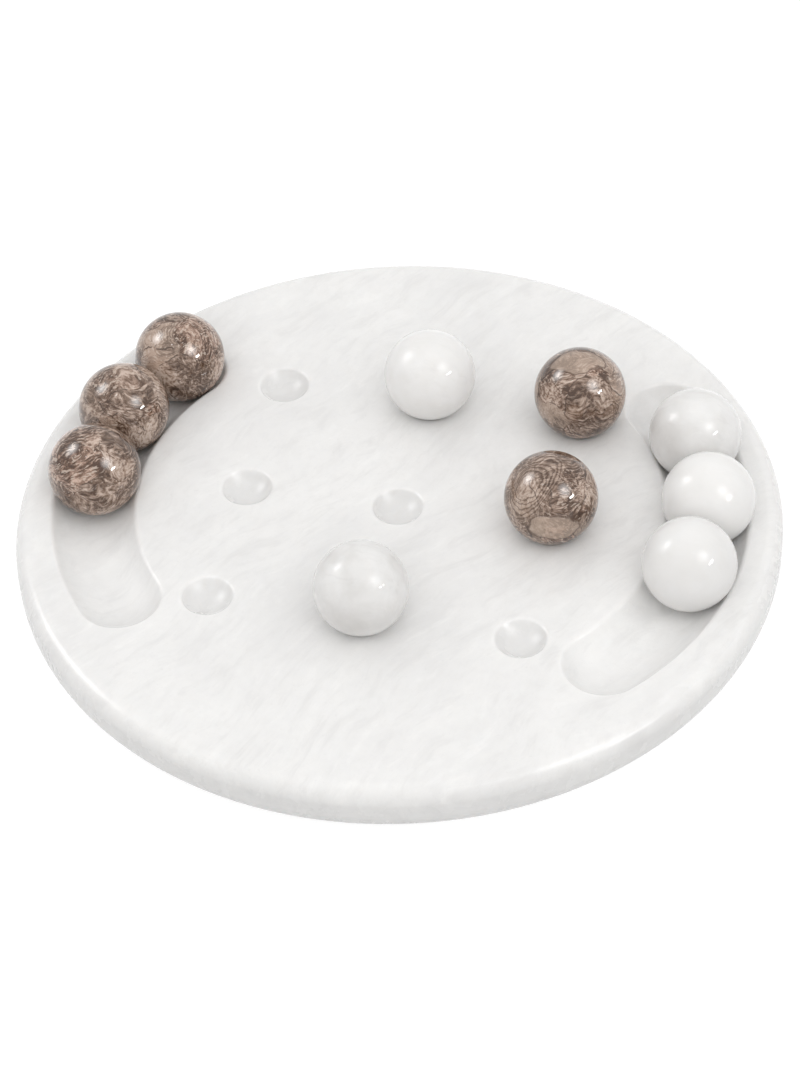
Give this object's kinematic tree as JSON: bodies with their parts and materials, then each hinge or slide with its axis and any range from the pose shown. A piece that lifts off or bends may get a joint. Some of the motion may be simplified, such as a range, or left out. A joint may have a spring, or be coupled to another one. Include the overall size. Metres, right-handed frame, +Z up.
{
  "type": "tic tac toe set",
  "caption": "Round polished stone tic tac toe board with dished seats in a square grid, two curved ball troughs beside it, and loose stone balls as game pieces.",
  "frame": {"origin": "on the table, under the middle of the round board, at the underside of its pads", "axes": "+Z up out of the playing face, +X from the middle towards the white balls' trough, +Y towards the far row of seats"},
  "size_m": [0.305, 0.305, 0.0582],
  "materials": {
    "white_marble": "polished",
    "white_ball_marble": "polished",
    "brown_ball_marble": "polished",
    "felt": "matte"
  },
  "bodies": {
    "base": {"board": "white_marble", "felt_pad_1": "felt", "felt_pad_2": "felt", "felt_pad_3": "felt", "felt_pad_4": "felt"},
    "brown_ball_1_body": {"brown_ball_1": "brown_ball_marble"},
    "brown_ball_2_body": {"brown_ball_2": "brown_ball_marble"},
    "brown_ball_3_body": {"brown_ball_3": "brown_ball_marble"},
    "brown_ball_4_body": {"brown_ball_4": "brown_ball_marble"},
    "brown_ball_5_body": {"brown_ball_5": "brown_ball_marble"},
    "white_ball_1_body": {"white_ball_1": "white_ball_marble"},
    "white_ball_2_body": {"white_ball_2": "white_ball_marble"},
    "white_ball_3_body": {"white_ball_3": "white_ball_marble"},
    "white_ball_4_body": {"white_ball_4": "white_ball_marble"},
    "white_ball_5_body": {"white_ball_5": "white_ball_marble"}
  },
  "joints": [
    {"name": "brown_ball_1_lift", "type": "slide", "parent": "base", "child": "brown_ball_1_body", "axis": [0, 0, 1], "range_m": [0, 0.06]},
    {"name": "brown_ball_2_lift", "type": "slide", "parent": "base", "child": "brown_ball_2_body", "axis": [0, 0, 1], "range_m": [0, 0.06]},
    {"name": "brown_ball_3_lift", "type": "slide", "parent": "base", "child": "brown_ball_3_body", "axis": [0, 0, 1], "range_m": [0, 0.06]},
    {"name": "brown_ball_4_lift", "type": "slide", "parent": "base", "child": "brown_ball_4_body", "axis": [0, 0, 1], "range_m": [0, 0.06]},
    {"name": "brown_ball_5_lift", "type": "slide", "parent": "base", "child": "brown_ball_5_body", "axis": [0, 0, 1], "range_m": [0, 0.06]},
    {"name": "white_ball_1_lift", "type": "slide", "parent": "base", "child": "white_ball_1_body", "axis": [0, 0, 1], "range_m": [0, 0.06]},
    {"name": "white_ball_2_lift", "type": "slide", "parent": "base", "child": "white_ball_2_body", "axis": [0, 0, 1], "range_m": [0, 0.06]},
    {"name": "white_ball_3_lift", "type": "slide", "parent": "base", "child": "white_ball_3_body", "axis": [0, 0, 1], "range_m": [0, 0.06]},
    {"name": "white_ball_4_lift", "type": "slide", "parent": "base", "child": "white_ball_4_body", "axis": [0, 0, 1], "range_m": [0, 0.06]},
    {"name": "white_ball_5_lift", "type": "slide", "parent": "base", "child": "white_ball_5_body", "axis": [0, 0, 1], "range_m": [0, 0.06]}
  ]
}
